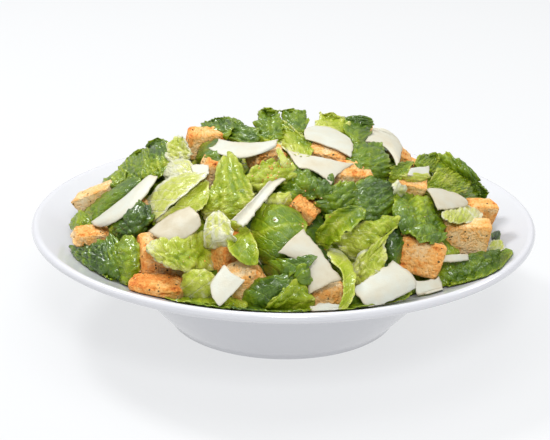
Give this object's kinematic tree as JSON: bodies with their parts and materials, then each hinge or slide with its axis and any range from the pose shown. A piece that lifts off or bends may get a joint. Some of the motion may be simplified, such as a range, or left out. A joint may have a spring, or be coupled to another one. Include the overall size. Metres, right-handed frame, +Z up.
{
  "type": "caesar salad",
  "caption": "Caesar salad of torn romaine heaped in a wide flared pasta plate, topped with croutons and parmesan shavings.",
  "frame": {"origin": "centre of the plate's foot ring, on the table", "axes": "+Z up out of the plate, -Y towards the side the salad is seen from, +X to its right"},
  "size_m": [0.28, 0.28, 0.1179],
  "materials": {
    "plate": "white gloss glaze",
    "romaine": "moist green leaf",
    "crouton": "toasted bread",
    "parmesan": "dry cream cheese"
  },
  "bodies": {
    "root": {"crouton_01": "crouton", "crouton_02": "crouton", "crouton_03": "crouton", "crouton_04": "crouton", "crouton_05": "crouton", "crouton_06": "crouton", "crouton_07": "crouton", "crouton_08": "crouton", "crouton_09": "crouton", "crouton_10": "crouton", "crouton_11": "crouton", "crouton_12": "crouton", "crouton_13": "crouton", "crouton_14": "crouton", "crouton_15": "crouton", "crouton_16": "crouton", "crouton_17": "crouton", "crouton_18": "crouton", "crouton_19": "crouton", "crouton_20": "crouton", "crouton_21": "crouton", "crouton_22": "crouton", "crouton_23": "crouton", "crouton_24": "crouton", "crouton_25": "crouton", "parmesan_01": "parmesan", "parmesan_02": "parmesan", "parmesan_03": "parmesan", "parmesan_04": "parmesan", "parmesan_05": "parmesan", "parmesan_06": "parmesan", "parmesan_07": "parmesan", "parmesan_08": "parmesan", "parmesan_09": "parmesan", "parmesan_10": "parmesan", "parmesan_11": "parmesan", "parmesan_12": "parmesan", "parmesan_13": "parmesan", "parmesan_14": "parmesan", "parmesan_15": "parmesan", "parmesan_16": "parmesan", "parmesan_17": "parmesan", "parmesan_18": "parmesan", "parmesan_19": "parmesan", "parmesan_20": "parmesan", "plate": "plate", "romaine_heap": "romaine"}
  },
  "joints": []
}
